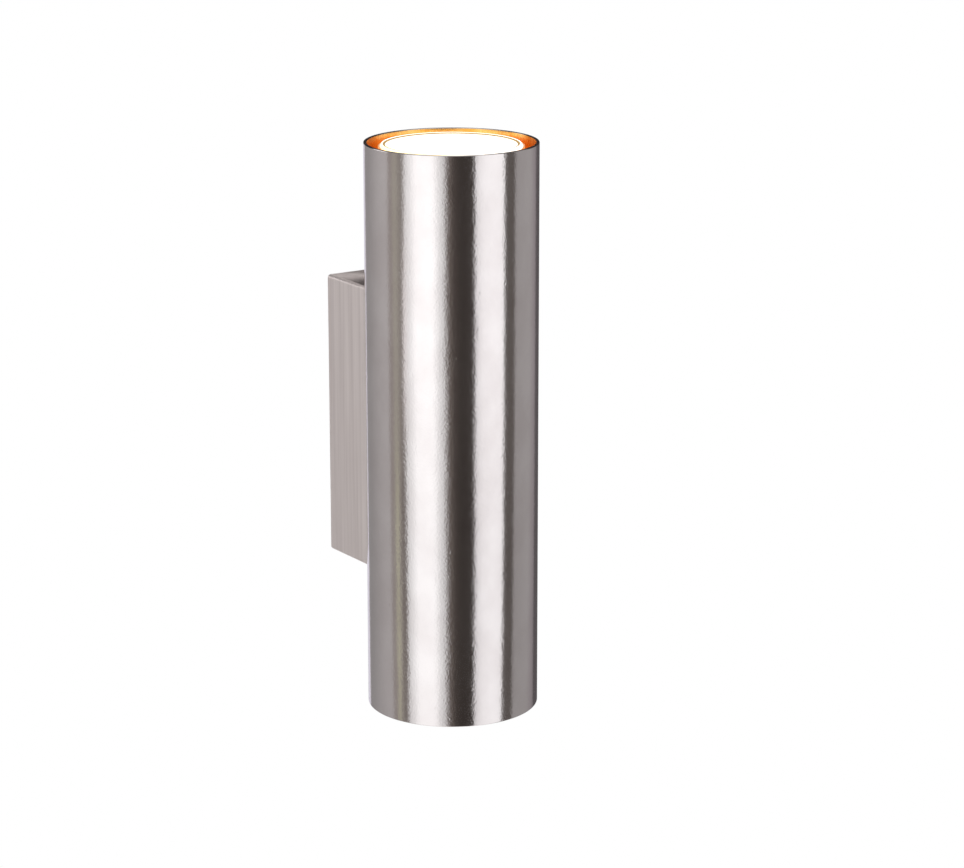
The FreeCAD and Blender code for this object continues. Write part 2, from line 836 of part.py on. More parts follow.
def lead_places(x, shared):
    """The x of each lead that ends in a pole: two side by side, or one in the middle."""
    if shared:
        return [x - lead_pair_spacing / 2, x + lead_pair_spacing / 2]
    return [x]


def lead_ferrules():
    """The crimped ends of the leads: two leads in each outer pole, the earth in the middle."""
    pieces = []
    poles = pole_places()
    top = collar_z + ferrule_collar_height
    for x in poles:
        barrel = rod(ferrule_radius, block_top_z - ferrule_length, collar_z, x, block_bore_y)
        depth = centred(ferrule_collar_depth, block_bore_y)
        collar = slab(centred(ferrule_collar_width, x), depth, (collar_z, top))
        body = joined([barrel, collar])
        for lead_x in lead_places(x, x in (poles[0], poles[-1])):
            bore = lead_radius + thread_clearance
            body = body.cut(rod(bore, lead_end_z - fit_clearance, top, lead_x, block_bore_y))
        pieces.append(body)
    return Part.makeCompound(pieces)


# Earth connection


def earth_screw():
    """The screw that holds the ring terminal to the bracket."""
    length = bracket_sheet + ring_thickness - fit_clearance
    piece = screw(earth_screw_radius, earth_screw_head_radius, earth_screw_head_height, length)
    return aimed(piece, Vec(earth_x, plate_y - ring_thickness, earth_z), Vec(0, -1, 0))


def earth_ring_terminal():
    """The ring under the earth screw, with a crimp for the earth lead."""
    face_y = plate_y - ring_thickness
    ring = rod_y(ring_radius, face_y, plate_y, earth_x, earth_z)
    tongue = slab(centred(2 * crimp_radius, earth_x), (face_y, plate_y), (crimp_z, earth_z))
    crimp = rod(crimp_radius, crimp_z - crimp_length, crimp_z, earth_x, crimp_y)
    hole = rod_y(earth_screw_radius + screw_hole_clearance, face_y, plate_y, earth_x, earth_z)
    low = crimp_z - crimp_length
    bore = rod(lead_radius + thread_clearance, low, low + lead_grip + fit_clearance, earth_x, crimp_y)
    return joined([ring, tongue, crimp]).cut([hole, bore])


# Leads


def lead(name, points):
    """A round lead through the points: straight runs joined by tangent arcs.

    Each arc takes up the same share of the shorter run beside it.
    """
    edges = []
    radii = []
    here = points[0]
    for before, corner, after in zip(points, points[1:], points[2:]):
        shorter = min((corner - before).Length, (after - corner).Length)
        half_angle = (before - corner).getAngle(after - corner) / 2
        radius = bend_share * shorter * math.tan(half_angle)
        start, middle, end = bend_arc(before, corner, after, radius)
        edges.append(Part.LineSegment(here, start).toShape())
        edges.append(Part.Arc(start, middle, end).toShape())
        radii.append(round(radius, 1))
        here = end
    edges.append(Part.LineSegment(here, points[-1]).toShape())
    path = Part.Wire(edges)
    section = Part.Wire(Part.makeCircle(lead_radius, points[0], points[1] - points[0]))
    body = path.makePipeShell([section], True, False)
    expected = math.pi * lead_radius**2 * path.Length
    print(name, "bend radii", radii, "volume share", round(body.Volume / expected, 5))
    return body


def holder_lead(name, upper, contact, side, terminal_x):
    """A lead from a holder contact, through the bushing, to its place in the terminal block."""
    x, y = on_pin_circle(pin_angles()[contact])
    start = tube_point(x, y, tail_z + lead_grip, upper)
    below = tube_point(x, y, tail_z - lead_run_in, upper)
    bundle_z = shade_rise + (1 if upper else -1) * lead_bundle_spacing / 2
    bundle_x = side * lead_bundle_spacing / 2
    corner = Vec(start.x, start.y + lead_swing, bundle_z + (below.z - bundle_z) / 3)
    tube_side = Vec(bundle_x, leg_front_y - lead_run_in, bundle_z)
    box_side = Vec(bundle_x, cover_inner_y + lead_run_out, bundle_z)
    turn = Vec(terminal_x, block_bore_y - lead_run_out, bundle_z - lead_swing)
    above = Vec(terminal_x, block_bore_y, lead_end_z + lead_grip + lead_run_in)
    end = Vec(terminal_x, block_bore_y, lead_end_z)
    return lead(name, [start, below, corner, tube_side, box_side, turn, above, end])


def earth_lead():
    """The earth lead, round the side of the cable hole from the block to the earth screw."""
    beside_x = grommet_flange_radius + lead_radius + earth_side_gap
    front_y = plate_y - grommet_flange_thickness - lead_radius - earth_front_gap
    grip_z = crimp_z - crimp_length
    points = [
        Vec(0, block_bore_y, lead_end_z),
        Vec(0, block_bore_y, lead_end_z + lead_grip + lead_run_in),
        Vec(beside_x / 2, front_y, cable_hole_z - 2 * cable_hole_radius),
        Vec(beside_x, front_y, cable_hole_z - cable_hole_radius),
        Vec(beside_x, front_y, cable_hole_z + lead_run_in),
        Vec(earth_x, crimp_y, grip_z - earth_run_in),
        Vec(earth_x, crimp_y, grip_z + lead_grip),
    ]
    return lead("earth_lead", points)


def holder_leads():
    """The live and neutral lead of each lampholder, by name."""
    poles = pole_places()
    live = lead_places(poles[0], True)
    neutral = lead_places(poles[-1], True)
    routes = {
        "upper_live_lead": (True, 1, -1, live[1]),
        "upper_neutral_lead": (True, 0, 1, neutral[0]),
        "lower_live_lead": (False, 0, -1, live[0]),
        "lower_neutral_lead": (False, 1, 1, neutral[1]),
    }
    return {name: holder_lead(name, *route) for name, route in routes.items()}


# All nodes


def lamp_and_holder(place, upper):
    """The nodes of one lamp and its holder, by name."""
    return {
        place + "_lampholder": lampholder(upper),
        place + "_holder_base": holder_base(upper),
        place + "_holder_contacts": holder_contacts(upper),
        place + "_holder_screws": holder_screws(upper),
        place + "_lamp_reflector": lamp_reflector(upper),
        place + "_lamp_lens": lamp_lens(upper),
        place + "_lamp_base": lamp_base(upper),
        place + "_lamp_pins": lamp_pins(upper),
        place + "_lamp_capsule": lamp_capsule(upper),
        place + "_lamp_filament": lamp_filament(upper),
    }


def all_nodes():
    """Every node of the light, by name."""
    nodes = {
        "tube_shade": tube_shade(),
        "wall_box_cover": wall_box_cover(),
        "wall_bracket": wall_bracket(),
        "cover_screws": cover_screws(),
        "cable_grommet": cable_grommet(),
        "shade_screws": shade_screws(),
        "shade_washers": shade_washers(),
        "shade_nuts": shade_nuts(),
        "wire_bushing": wire_bushing(),
        "lamp_carrier": lamp_carrier(),
        "terminal_block": terminal_block(),
        "terminal_clamps": terminal_clamps(),
        "terminal_screws": terminal_screws(),
        "block_screws": block_screws(),
        "lead_ferrules": lead_ferrules(),
        "earth_screw": earth_screw(),
        "earth_ring_terminal": earth_ring_terminal(),
        "earth_lead": earth_lead(),
    }
    nodes.update(holder_leads())
    nodes.update(lamp_and_holder("upper", True))
    nodes.update(lamp_and_holder("lower", False))
    return nodes


os.makedirs("parts", exist_ok=True)
for node_name, node_shape in all_nodes().items():
    node_shape.exportStep("parts/" + node_name + ".step")
    print(node_name, len(node_shape.Solids), round(node_shape.Volume, 2), node_shape.isValid())
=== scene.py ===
"""Looks of an up-and-down wall light: a satin nickel tube on a slim folded wall box."""
import logging
import math
from collections.abc import Callable, Iterable, Mapping
from dataclasses import dataclass, field
from enum import Enum

import bmesh
import bpy
from mathutils import Matrix, Vector


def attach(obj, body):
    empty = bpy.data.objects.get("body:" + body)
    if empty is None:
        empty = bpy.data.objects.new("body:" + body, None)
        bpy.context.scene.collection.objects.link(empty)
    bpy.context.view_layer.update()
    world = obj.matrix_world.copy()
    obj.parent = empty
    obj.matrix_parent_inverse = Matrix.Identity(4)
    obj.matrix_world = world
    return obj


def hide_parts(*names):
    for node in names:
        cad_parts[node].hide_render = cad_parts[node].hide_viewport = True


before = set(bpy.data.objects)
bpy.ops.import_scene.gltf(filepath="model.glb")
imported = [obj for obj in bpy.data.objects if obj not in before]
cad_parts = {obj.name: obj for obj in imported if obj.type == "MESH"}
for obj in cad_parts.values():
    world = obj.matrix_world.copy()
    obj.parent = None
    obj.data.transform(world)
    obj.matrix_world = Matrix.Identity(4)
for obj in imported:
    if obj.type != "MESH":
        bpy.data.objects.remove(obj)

log = logging.getLogger("tube_wall_light")

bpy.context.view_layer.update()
SMOOTH_LIMIT = math.radians(32)
CUTTER_SIDES = 48
# places closer than this count as the same, in metres
NEAR = 1e-5
# the tube's axis lies this far out from the wall, and its middle this far up, in metres
AXIS_Y = -0.0571
TUBE_MIDDLE = 0.005

Tree = bpy.types.NodeTree
Socket = bpy.types.NodeSocket
Node = bpy.types.Node
Colour = tuple[float, float, float, float]
Triple = tuple[float, float, float]
BMesh = bmesh.types.BMesh
Corners = list[tuple[float, float]]
Feed = float | tuple | str | Socket | Node
Feeds = dict[str | int, Feed]

WHITE = (1.0, 1.0, 1.0, 1.0)
# parts of a noise pattern's height: all of it, most of it, and its steep middle
ALL = (0.0, 1.0)
MOST = (0.3, 0.7)
STEEP = (0.35, 0.65)


# Colour and node helpers


def linear(hex_colour: str) -> Colour:
    """Turns an sRGB hex colour into linear light.

    Args:
        hex_colour: six hex digits.

    Returns:
        The linear red, green and blue, and an alpha of 1.
    """
    channels = [int(hex_colour[i : i + 2], 16) / 255 for i in (0, 2, 4)]
    lit = [c / 12.92 if c <= 0.04045 else ((c + 0.055) / 1.055) ** 2.4 for c in channels]
    return (lit[0], lit[1], lit[2], 1.0)


def add_node(
    tree: Tree, kind: str, feeds: Mapping[str | int, Feed] | None = None, **settings: object
) -> Node:
    """Adds a node, sets its options and fills its inputs.

    Args:
        tree: the node tree to add to.
        kind: the node's type name, without the ShaderNode that it starts with.
        feeds: for an input's name or number, a value, a socket, or a node whose first output
            feeds it.
        settings: the node's own options by name.

    Returns:
        The new node.
    """
    node = tree.nodes.new(f"ShaderNode{kind}")
    for name, value in settings.items():
        setattr(node, name, value)
    for name, value in (feeds or {}).items():
        source = value.outputs[0] if isinstance(value, Node) else value
        if isinstance(source, Socket):
            tree.links.new(source, node.inputs[name])
        else:
            node.inputs[name].default_value = source
    return node


def pattern(tree: Tree, place: Feed, per_metre: Triple | float, detail: float = 2.0) -> Node:
    """Stretches a noise pattern to its real size.

    Args:
        tree: the node tree to add to.
        place: the coordinates, in metres.
        per_metre: repeats per metre, along each axis or along all three alike.
        detail: octaves of finer noise.

    Returns:
        The noise, whose first output runs from 0 to 1.
    """
    scale = (per_metre,) * 3 if isinstance(per_metre, float) else per_metre
    stretched = add_node(tree, "Mapping", {"Vector": place, "Scale": scale})
    return add_node(tree, "TexNoise", {"Vector": stretched, "Scale": 1.0, "Detail": detail})


def between(
    tree: Tree, value: Feed, span: tuple[float, float], low: Feed, high: Feed, most: float = 1.0
) -> Socket:
    """Runs from one number or colour to another while a pattern crosses a span.

    Args:
        tree: the node tree to add to.
        value: the pattern.
        span: the pattern's values where the run starts and ends.
        low: the number, hex colour or colour at the start.
        high: the same at the end.
        most: for colours, the share of the high one that is reached at the end.

    Returns:
        The socket that holds the number or colour.
    """
    numbers = isinstance(low, float)
    start, end = (low, high) if numbers else (0.0, most)
    share = add_node(tree, "MapRange", {0: value, 1: span[0], 2: span[1], 3: start, 4: end})
    if numbers:
        return share.outputs[0]
    tones = [linear(tone) if isinstance(tone, str) else tone for tone in (low, high)]
    feeds = {0: share, 6: tones[0], 7: tones[1]}
    return add_node(tree, "Mix", feeds, data_type="RGBA").outputs[2]


def relief(tree: Tree, *layers: tuple[Feed, float]) -> Node:
    """Lays bump patterns over each other.

    Args:
        tree: the node tree to add to.
        layers: each pattern with the metres from its lowest to its highest, broadest first.

    Returns:
        The last bump, whose output is the bumped normal.
    """
    under: Feeds = {}
    for height, depth in layers:
        bump = add_node(tree, "Bump", {"Height": height, "Distance": depth, **under})
        under = {"Normal": bump}
    return bump


# Finishes


@dataclass(frozen=True)
class Finish:
    """A surface finish, made into one node material on first use."""

    name: str

    def material(self) -> bpy.types.Material:
        """Gives the finish's material.

        Returns:
            The material, which all pieces of this finish share.
        """
        found = bpy.data.materials.get(self.name)
        if found:
            return found
        made = bpy.data.materials.new(self.name)
        made.use_nodes = True
        tree = made.node_tree
        tree.nodes.clear()
        place = add_node(tree, "TexCoord").outputs["Object"]
        surface = add_node(tree, "BsdfPrincipled", self.inputs(tree, place))
        add_node(tree, "OutputMaterial", {"Surface": surface})
        return made

    def inputs(self, tree: Tree, place: Socket) -> Feeds:
        """Builds the patterns that feed the finish's shader.

        Args:
            tree: the material's node tree.
            place: object coordinates, in metres.

        Returns:
            The shader's inputs by name.
        """
        raise NotImplementedError


@dataclass(frozen=True)
class SatinNickel(Finish):
    """Satin nickel plate: a warm grey that mirrors the room in slightly wavy bands.

    The eye sees a fine satin grain that frays the edges of each reflection, a broader
    waviness from the polishing wheel, tiny bright pits and a few faint handling scratches.
    """

    colour: str = "E3DDDC"
    streak_colour: str = "DCD5D4"
    roughness: float = 0.11
    grain_depth: float = 0.000029
    wave_depth: float = 0.000035
    pit_depth: float = 0.000012
    scratch_depth: float = 0.000003
    scratch_bend: float = 0.012

    def inputs(self, tree: Tree, place: Socket) -> Feeds:
        """Builds the satin plate.

        Args:
            tree: the material's node tree.
            place: object coordinates, in metres.

        Returns:
            The shader's inputs by name.
        """
        # satin grain, 0.8 mm across
        grain = pattern(tree, place, (1300.0, 1300.0, 1100.0), 4.0)
        # pits in the plate, under 1 mm across and some 40 mm apart
        pits = between(tree, pattern(tree, place, 620.0, 0.0), (0.79, 0.86), 0.0, 1.0)
        # handling scratches: thin curved lines, 25 mm apart, kept in a part of the surface
        bend = pattern(tree, place, 70.0, 1.0).outputs["Color"]
        feeds: Feeds = {0: self.scratch_bend, 6: place, 7: bend}
        bent = add_node(tree, "Mix", feeds, data_type="RGBA", blend_type="ADD").outputs[2]
        feeds = {"Vector": bent, "Scale": 45.0}
        cracks = add_node(tree, "TexVoronoi", feeds, feature="DISTANCE_TO_EDGE")
        line = between(tree, cracks, (0.0, 0.012), 1.0, 0.0)
        kept = between(tree, pattern(tree, place, 60.0), (0.62, 0.68), 0.0, 1.0)
        scratch = add_node(tree, "Math", {0: line, 1: kept}, operation="MULTIPLY")
        # waviness left by the polishing wheel: swells 5 mm wide and 8 mm tall
        wave = pattern(tree, place, (200.0, 200.0, 125.0), 1.5)
        # clouds of slightly thinner plate, 12 mm across
        cloud = pattern(tree, place, (80.0, 80.0, 60.0), 3.0)
        return {
            "Base Color": between(tree, cloud, STEEP, self.colour, self.streak_colour),
            "Metallic": 1.0,
            "Roughness": between(tree, grain, MOST, self.roughness * 0.8, self.roughness * 1.3),
            "Normal": relief(
                tree,
                (wave, self.wave_depth),
                (pits, self.pit_depth),
                (scratch, -self.scratch_depth),
                (grain, self.grain_depth),
            ),
        }


@dataclass(frozen=True)
class BrushedNickel(Finish):
    """Nickel plate over upright brushing: softer and paler, with fine upright lines."""

    colour: str = "F2E9E7"
    line_colour: str = "E4DAD8"
    roughness: float = 0.46
    anisotropy: float = 0.8
    hair_depth: float = 0.0000025
    swell_depth: float = 0.00002

    def inputs(self, tree: Tree, place: Socket) -> Feeds:
        """Builds the brushed plate.

        Args:
            tree: the material's node tree.
            place: object coordinates, in metres.

        Returns:
            The shader's inputs by name.
        """
        # hairlines about 0.25 mm apart and 25 mm long
        hair = pattern(tree, place, (4000.0, 4000.0, 40.0), 3.0)
        # broader strokes, about 1.6 mm apart
        stroke = pattern(tree, place, (620.0, 620.0, 14.0))
        # the sheet isn't quite flat: soft swells 15 mm across
        swell = pattern(tree, place, (65.0, 65.0, 40.0), 1.0)
        low, high = self.roughness * 0.85, self.roughness * 1.2
        return {
            "Base Color": between(tree, stroke, MOST, self.colour, self.line_colour),
            "Metallic": 1.0,
            "Roughness": between(tree, hair, (0.25, 0.75), low, high),
            "Anisotropic": self.anisotropy,
            "Tangent": add_node(tree, "Tangent", direction_type="RADIAL", axis="Z"),
            "Normal": relief(tree, (swell, self.swell_depth), (hair, self.hair_depth)),
        }


@dataclass(frozen=True)
class InnerNickel(Finish):
    """The tube's bore: thin plate over drawn metal, dull grey in the middle.

    Within a lamp's length of each mouth the plate carries a painted warm glow of the lamps, a deep
    copper orange that the light brings out.
    """

    grey: str = "C4BBB2"
    grey_dark: str = "B3AAA1"
    # painted warm glow of the lamps by each mouth, and the distances from the middle over which it
    # fades in
    lamp_glow: str = "F5CC84"
    lamp_glow_dark: str = "E8AC50"
    lamp_glow_span: tuple[float, float] = (0.062, 0.082)

    def inputs(self, tree: Tree, place: Socket) -> Feeds:
        """Builds the drawn bore.

        Args:
            tree: the material's node tree.
            place: object coordinates, in metres.

        Returns:
            The shader's inputs by name.
        """
        # draw lines about 0.8 mm apart, the tube's length long
        lines = pattern(tree, place, (1250.0, 1250.0, 12.0))
        # patches of deeper painted lamp glow, 9 mm across
        patch = pattern(tree, place, 110.0)
        height = add_node(tree, "SeparateXYZ", {0: place}).outputs["Z"]
        offset = add_node(tree, "Math", {0: height, 1: TUBE_MIDDLE}, operation="SUBTRACT")
        reach = add_node(tree, "Math", {0: offset}, operation="ABSOLUTE")
        cool = between(tree, lines, ALL, self.grey, self.grey_dark)
        # painted warm light of the lamps, in patches
        warm = between(tree, patch, STEEP, self.lamp_glow, self.lamp_glow_dark)
        return {
            "Base Color": between(tree, reach, self.lamp_glow_span, cool, warm),
            "Metallic": 1.0,
            "Roughness": between(tree, lines, MOST, 0.24, 0.36),
            "Normal": relief(tree, (lines, 0.000006)),
        }


@dataclass(frozen=True)
class FrontGlass(Finish):
    """Stippled front glass with the burner lit behind it: an even, slightly warm white.

    Light leaks yellow past the burner towards one side of the edge.
    """

    glow: str = "FFFBF3"
    dimple_glow: str = "FFEFD2"
    dimple_share: float = 0.2
    fringe: str = "FFE27A"
    fringe_share: float = 0.8
    strength: float = 1.15
    warm_side: Triple = (-0.98, -0.2, 0.0)
    fringe_span: tuple[float, float] = (0.0175, 0.0235)

    def inputs(self, tree: Tree, place: Socket) -> Feeds:
        """Builds the lit glass.

        Args:
            tree: the material's node tree.
            place: object coordinates, in metres.

        Returns:
            The shader's inputs by name.
        """
        # round dimples about 1.6 mm apart, pressed into the glass
        feeds: Feeds = {"Vector": place, "Scale": 620.0}
        cells = add_node(tree, "TexVoronoi", feeds, feature="SMOOTH_F1")
        low, high = self.glow, self.dimple_glow
        even = between(tree, cells, (0.1, 0.9), low, high, self.dimple_share)
        feeds = {0: place, 1: (0.0, AXIS_Y, 0.0)}
        centred = add_node(tree, "VectorMath", feeds, operation="SUBTRACT")
        feeds = {0: centred, 1: self.warm_side}
        sideways = add_node(tree, "VectorMath", feeds, operation="DOT_PRODUCT").outputs["Value"]
        leak = between(tree, sideways, self.fringe_span, even, self.fringe, self.fringe_share)
        return {
            "Base Color": linear("F4F1EA"),
            "Roughness": 0.12,
            "IOR": 1.5,
            "Emission Color": leak,
            "Emission Strength": self.strength,
            "Normal": relief(tree, (cells, 0.00012)),
        }


@dataclass(frozen=True)
class MirrorBowl(Finish):
    """Pressed glass with a heat-passing mirror coat: its back glows orange when it is lit."""

    warm: str = "CC640A"
    hot: str = "E8A040"
    strength: float = 0.85

    def inputs(self, tree: Tree, place: Socket) -> Feeds:
        """Builds the glowing mirror glass.

        Args:
            tree: the material's node tree.
            place: object coordinates, in metres.

        Returns:
            The shader's inputs by name.
        """
        # the leak varies slowly round the bowl, in patches about 20 mm across
        patch = pattern(tree, place, (55.0, 55.0, 40.0), 1.0)
        # pressed glass: faint orange-peel, 2 mm across
        skin = pattern(tree, place, 500.0, 1.0)
        return {
            "Base Color": between(tree, patch, ALL, "E8DFC8", "D8C6E0"),
            "Metallic": 0.6,
            "Roughness": between(tree, skin, MOST, 0.06, 0.14),
            "Emission Color": between(tree, patch, STEEP, self.warm, self.hot),
            "Emission Strength": self.strength,
            "Normal": relief(tree, (skin, 0.00003)),
        }


@dataclass(frozen=True)
class Cement(Finish):
    """Fired lamp cement: a dull tan bead with a sandy grain."""

    light: str = "CDA868"
    dark: str = "B58F52"

    def inputs(self, tree: Tree, place: Socket) -> Feeds:
        """Builds the cement.

        Args:
            tree: the material's node tree.
            place: object coordinates, in metres.

        Returns:
            The shader's inputs by name.
        """
        # sandy grain, 0.3 mm
        grain = pattern(tree, place, 3300.0, 3.0)
        return {
            "Base Color": between(tree, grain, ALL, self.light, self.dark),
            "Roughness": 0.85,
            "Normal": relief(tree, (grain, 0.00003)),
        }


@dataclass(frozen=True)
class Fired(Finish):
    """Unglazed steatite: off-white, matt, with fine dark specks and a faint pressing grain."""

    light: str = "E9E5DA"
    dark: str = "D6D0C2"
    speck_colour: str = "8F877A"

    def inputs(self, tree: Tree, place: Socket) -> Feeds:
        """Builds the ceramic.

        Args:
            tree: the material's node tree.
            place: object coordinates, in metres.

        Returns:
            The shader's inputs by name.
        """
        # cloudy tone, 6 mm, under specks about 0.4 mm across
        body = between(tree, pattern(tree, place, 160.0), ALL, self.light, self.dark)
        speck = pattern(tree, place, 2400.0, 1.0)
        spotted = between(tree, speck, (0.68, 0.76), body, self.speck_colour, 0.5)
        return {
            "Base Color": spotted,
            "Roughness": between(tree, speck, MOST, 0.5, 0.68),
            "Normal": relief(tree, (speck, 0.00002)),
        }


@dataclass(frozen=True)
class Plated(Finish):
    """Plated or rolled metal in small parts: a mirror dulled by handling, with cloudy patches."""

    light: str = "C9CCD0"
    dark: str = "A9AFB8"
    roughness: float = 0.28
    clouds_per_metre: float = 130.0
    lines_per_metre: Triple = (1800.0, 1800.0, 60.0)

    def inputs(self, tree: Tree, place: Socket) -> Feeds:
        """Builds the metal.

        Args:
            tree: the material's node tree.
            place: object coordinates, in metres.

        Returns:
            The shader's inputs by name.
        """
        cloud = pattern(tree, place, self.clouds_per_metre, 3.0)
        lines = pattern(tree, place, self.lines_per_metre)
        return {
            "Base Color": between(tree, cloud, STEEP, self.light, self.dark),
            "Metallic": 1.0,
            "Roughness": between(tree, cloud, MOST, self.roughness * 0.75, self.roughness * 1.3),
            "Normal": relief(tree, (lines, 0.000003)),
        }


@dataclass(frozen=True)
class Quartz(Finish):
    """Fused quartz: clear and glossy, with faint flow lines."""

    def inputs(self, tree: Tree, place: Socket) -> Feeds:
        """Builds the quartz.

        Args:
            tree: the material's node tree.
            place: object coordinates, in metres.

        Returns:
            The shader's inputs by name.
        """
        # flow lines along the drawn tube, 1 mm apart
        flow = pattern(tree, place, (900.0, 900.0, 90.0), 1.0)
        return {
            "Base Color": between(tree, flow, ALL, "FBFCFD", "EEF3F6"),
            "Roughness": between(tree, flow, MOST, 0.02, 0.08),
            "IOR": 1.46,
            "Transmission Weight": 1.0,
            "Normal": relief(tree, (flow, 0.00002)),
        }


@dataclass(frozen=True)
class HotTungsten(Finish):
    """Drawn tungsten, glowing yellow-white, with the coil's turns showing as fine dark rings."""

    def inputs(self, tree: Tree, place: Socket) -> Feeds:
        """Builds the glowing wire.

        Args:
            tree: the material's node tree.
            place: object coordinates, in metres.

        Returns:
            The shader's inputs by name.
        """
        # turns about 0.25 mm apart
        stretched = add_node(tree, "Mapping", {"Vector": place, "Scale": (1270.0, 200.0, 200.0)})
        feeds: Feeds = {"Vector": stretched, "Scale": 1.0, "Distortion": 0.5}
        turns = add_node(tree, "TexWave", feeds).outputs["Fac"]
        return {
            "Base Color": linear("5A5854"),
            "Metallic": 1.0,
            "Roughness": 0.45,
            "Emission Color": between(tree, turns, ALL, "FFF2C8", "FFC765"),
            "Emission Strength": 3.0,
            "Normal": relief(tree, (turns, 0.00005)),
        }


@dataclass(frozen=True)
class Moulded(Finish):
    """Moulded plastic or rubber: fine spark-eroded skin with a slow drift of tone."""

    light: str
    dark: str
    roughness: float
    skin_per_metre: float
    skin_depth: float
    softness: float = 0.0

    def inputs(self, tree: Tree, place: Socket) -> Feeds:
        """Builds the moulded skin.

        Args:
            tree: the material's node tree.
            place: object coordinates, in metres.

        Returns:
            The shader's inputs by name.
        """
        skin = pattern(tree, place, self.skin_per_metre, 3.0)
        # slow drift of tone, 12 mm
        drift = pattern(tree, place, 80.0, 1.0)
        return {
            "Base Color": between(tree, drift, ALL, self.light, self.dark),
            "Roughness": between(tree, skin, MOST, self.roughness * 0.85, self.roughness * 1.15),
            "Subsurface Weight": self.softness,
            "Subsurface Scale": 0.001,
            "Normal": relief(tree, (skin, self.skin_depth)),
        }


@dataclass(frozen=True)
class StripedLead(Finish):
    """Earth lead insulation: green silicone with a yellow stripe wound round it."""

    green: str = "3E8E2F"
    yellow: str = "E3CF2E"

    def inputs(self, tree: Tree, place: Socket) -> Feeds:
        """Builds the striped insulation.

        Args:
            tree: the material's node tree.
            place: object coordinates, in metres.

        Returns:
            The shader's inputs by name.
        """
        # one yellow stripe every 5 mm, slanted to look wound
        feeds: Feeds = {"Vector": place, "Scale": (60.0, 60.0, 32.0), "Rotation": (0.5, 0.4, 0.0)}
        feeds = {"Vector": add_node(tree, "Mapping", feeds), "Scale": 2.0}
        wave = add_node(tree, "TexWave", feeds, bands_direction="Z").outputs["Fac"]
        skin = pattern(tree, place, 1500.0)
        return {
            "Base Color": between(tree, wave, (0.62, 0.68), self.green, self.yellow),
            "Roughness": between(tree, skin, MOST, 0.38, 0.5),
            "Normal": relief(tree, (skin, 0.00001)),
        }


# satin plate over polished steel: upright bands of reflected light with frayed edges
TUBE_NICKEL = SatinNickel("satin_nickel_on_polished_steel")
# the same plate over upright brushing: paler, with soft wide highlights
BOX_NICKEL = BrushedNickel("satin_nickel_on_brushed_steel")
# the bore: dull and grey in the middle, with a painted copper-orange lamp glow by the mouths
BORE_NICKEL = InnerNickel("thin_nickel_on_drawn_steel")
# an even white, with the pressed dimples just showing
FRONT_GLASS = FrontGlass("stippled_front_glass_lit")
# the same glass at the reflector's rim, drawn bright by the light that it pipes
GLASS_LIP = FrontGlass(
    "fire_polished_glass_lip", "FFFAF0", strength=1.3, fringe_span=(0.014, 0.021)
)
# glows orange all over, a little unevenly
MIRROR_BOWL = MirrorBowl("pressed_glass_mirror_coated")
# a dull tan line between the two glasses
CEMENT = Cement("fired_lamp_cement")
# off-white and matt, with specks
STEATITE = Fired("unglazed_steatite")
# bluish bright zinc with cloudy passivation
ZINC = Plated("zinc_plated_steel")
# rolled brass, a little tarnished
BRASS = Plated("rolled_brass", "D3AE62", "B08A44", 0.25, 200.0)
# soft white tin over copper, matt
TINNED = Plated("tinned_copper", "C4C3BE", "A8A7A1", 0.38, 300.0)
# bright nickel on turned brass, with rings from the lathe
PIN_NICKEL = Plated(
    "nickel_plated_turned_pin", "CFCBC2", "B8B3A8", 0.16, 400.0, (60.0, 60.0, 5000.0)
)
# clear, with soft streaks where it bends the light
QUARTZ = Quartz("clear_fused_quartz")
# a yellow-white glow in fine rings
TUNGSTEN = HotTungsten("drawn_tungsten_hot")
# natural nylon: creamy and a little translucent
NYLON = Moulded("natural_moulded_nylon", "E6E3D9", "D9D5C8", 0.45, 1800.0, 0.000012, 0.15)
# black rubber with a dusty bloom
RUBBER = Moulded("black_moulded_rubber", "1C1B1A", "2A2826", 0.7, 1400.0, 0.00003)
# silicone insulation, satin and slightly soft
LEAD_BROWN = Moulded("brown_silicone_insulation", "5B3316", "4A2912", 0.42, 1500.0, 0.00001)
LEAD_BLUE = Moulded("blue_silicone_insulation", "1F55A8", "1A4790", 0.42, 1500.0, 0.00001)
LEAD_EARTH = StripedLead("green_yellow_silicone_insulation")


# Mesh helpers


def linked(name: str, data: bpy.types.ID) -> bpy.types.Object:
    """Makes an object and puts it in the scene.

    Args:
        name: the object's name.
        data: its mesh, camera or lamp.

    Returns:
        The object, at the origin.
    """
    made = bpy.data.objects.new(name, data)
    bpy.context.scene.collection.objects.link(made)
    return made


def meshed(name: str, bm: BMesh) -> bpy.types.Object:
    """Turns a shape into an object of the scene.

    Args:
        name: the object's name.
        bm: the shape, which is freed.

    Returns:
        The object, at the origin.
    """
    mesh = bpy.data.meshes.new(name)
    bm.to_mesh(mesh)
    bm.free()
    return linked(name, mesh)


def smoothed(bm: BMesh) -> None:
    """Shades faces smooth, with a sharp edge wherever two faces meet at a clear angle.

    Args:
        bm: the mesh to shade.
    """
    for face in bm.faces:
        face.smooth = True
    for edge in bm.edges:
        edge.smooth = len(edge.link_faces) == 2 and edge.calc_face_angle(0.0) < SMOOTH_LIMIT


def rounded(bm: BMesh, geom: list, radius: float, steps: int, affect: str = "EDGES") -> None:
    """Rounds edges or corners.

    Args:
        bm: the mesh to change.
        geom: the edges or corners to round.
        radius: how far the rounding reaches, in metres.
        steps: segments in each rounding.
        affect: EDGES or VERTICES.
    """
    bmesh.ops.bevel(
        bm,
        geom=geom,
        offset=radius,
        offset_type="OFFSET",
        segments=steps,
        profile=0.5,
        affect=affect,
        material=-1,
    )


